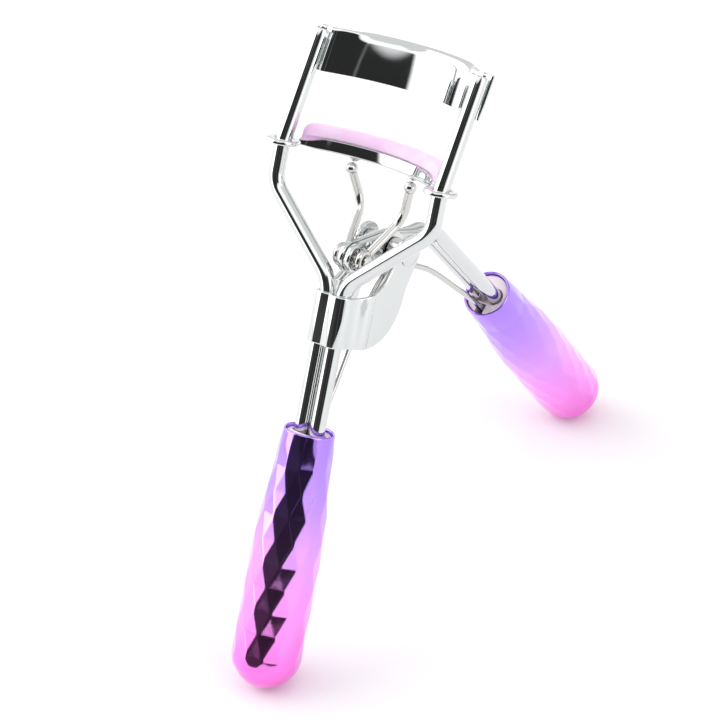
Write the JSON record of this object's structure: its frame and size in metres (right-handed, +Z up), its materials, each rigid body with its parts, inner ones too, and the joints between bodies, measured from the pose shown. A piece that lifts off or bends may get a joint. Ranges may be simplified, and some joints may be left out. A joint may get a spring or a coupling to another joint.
{
  "type": "eyelash curler",
  "caption": "Hand-held eyelash curler with a curved fixed jaw, sliding padded lower jaw, lever linkage, opening spring and two faceted handles.",
  "frame": {"origin": "floor point under the round end of the front handle, with the curler standing open like an easel", "axes": "+Z up, +Y from the front handle back towards the lever handle, +X towards the right-hand cage rod"},
  "size_m": [0.0376, 0.0983, 0.0961],
  "materials": {
    "chrome": "mirror plated",
    "handle_plating": "metallised violet to pink, high gloss",
    "plug_plastic": "satin",
    "silicone_pad": "soft translucent pink",
    "spring_steel": "bright drawn wire"
  },
  "bodies": {
    "frame": {"left_frame_rod": "chrome", "right_frame_rod": "chrome", "upper_jaw": "chrome", "bracket": "chrome", "pivot_rivet": "chrome", "left_pivot_spacer": "spring_steel", "right_pivot_spacer": "spring_steel", "front_handle_shell": "handle_plating", "front_handle_plug": "plug_plastic", "opening_spring": "spring_steel"},
    "lever": {"left_lever_arm": "chrome", "right_lever_arm": "chrome", "rear_handle_shell": "handle_plating", "rear_handle_plug": "plug_plastic"},
    "lower_jaw": {"lower_jaw_channel": "chrome", "lash_pad": "silicone_pad", "left_link_rivet": "chrome", "right_link_rivet": "chrome"},
    "links": {"left_link": "spring_steel", "right_link": "spring_steel", "link_pin": "spring_steel"}
  },
  "joints": [
    {"name": "lever_pivot", "type": "hinge", "parent": "frame", "child": "lever", "pos_m": [0, 0.04151, 0.06305], "axis": [-1, 0, 0], "range_deg": [0, 54], "stiffness_Nm_per_rad": 0.08, "springref_deg": -22.92, "deforming": ["opening_spring"]},
    {"name": "jaw_slide", "type": "slide", "parent": "frame", "child": "lower_jaw", "axis": [0, 0.66, 0.7513], "range_m": [0, 0.0083]},
    {"name": "link_swing", "type": "hinge", "parent": "lower_jaw", "child": "links", "pos_m": [0, 0.04161, 0.07574], "axis": [1, 0, 0], "range_deg": [0, 2.4]}
  ],
  "couplings": [
    {"joint": "jaw_slide", "follows": "lever_pivot", "m_per_rad": 0.0088},
    {"joint": "link_swing", "follows": "lever_pivot", "ratio": 0.0444}
  ]
}
